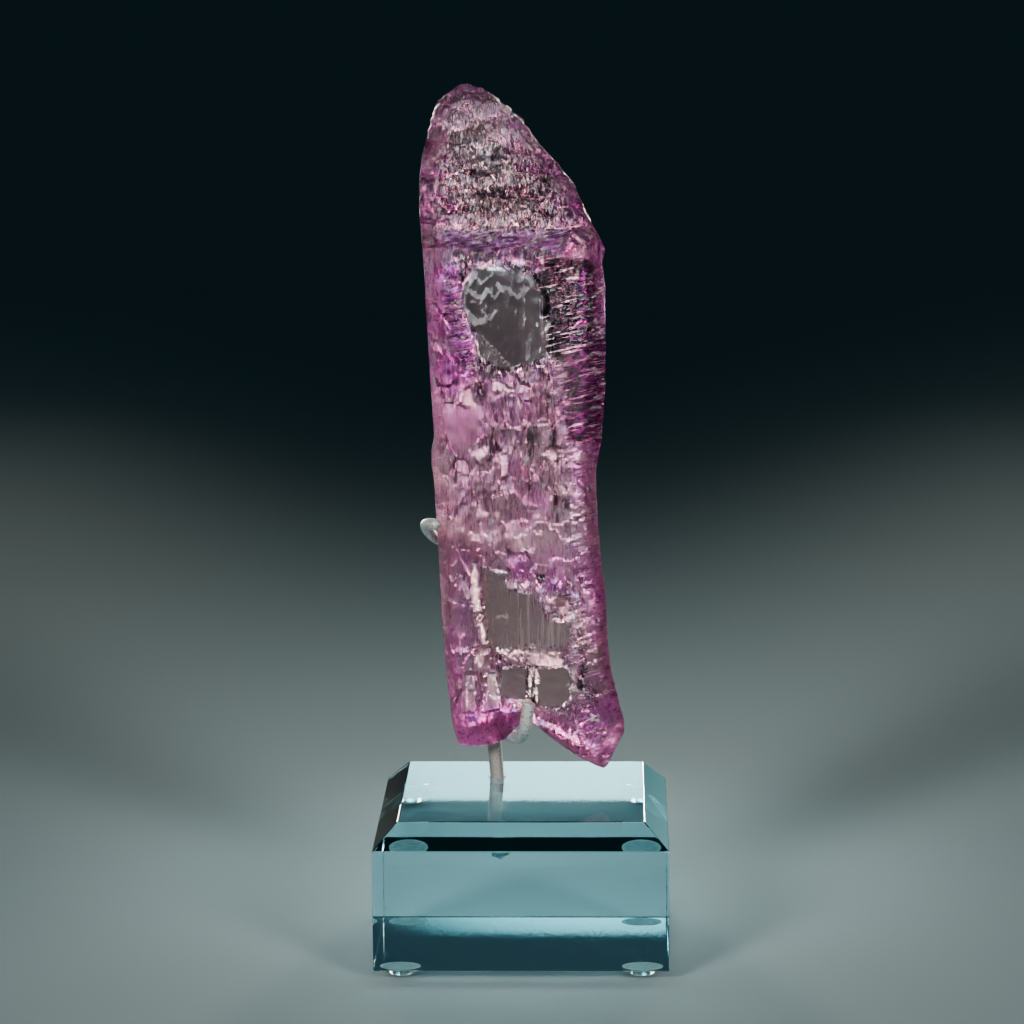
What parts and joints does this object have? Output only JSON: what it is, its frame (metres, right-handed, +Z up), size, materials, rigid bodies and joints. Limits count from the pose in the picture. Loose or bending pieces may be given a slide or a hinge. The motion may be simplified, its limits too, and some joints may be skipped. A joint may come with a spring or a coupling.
{
  "type": "kunzite crystal",
  "caption": "Clear lilac kunzite blade with an etched crown, held upright by a finger wire and a hook wire on a post in a chamfered clear base with bumper feet.",
  "frame": {"origin": "on the floor that the bumper feet stand on, below the centre of the square base", "axes": "+Z up along the crystal's length, -Y out of the crystal's broad front face, +X to the right of someone facing it"},
  "size_m": [0.057, 0.057, 0.1704],
  "materials": {
    "kunzite": "gloss",
    "clear_acrylic": "gloss",
    "post_steel": "satin",
    "silver_wire": "satin",
    "clear_bumper": "gloss"
  },
  "bodies": {
    "root": {"kunzite_crystal": "kunzite", "mount_post": "post_steel", "finger_wire": "silver_wire", "hook_wire": "silver_wire", "acrylic_base": "clear_acrylic", "bumper_foot_front_left": "clear_bumper", "bumper_foot_back_left": "clear_bumper", "bumper_foot_front_right": "clear_bumper", "bumper_foot_back_right": "clear_bumper"}
  },
  "joints": []
}
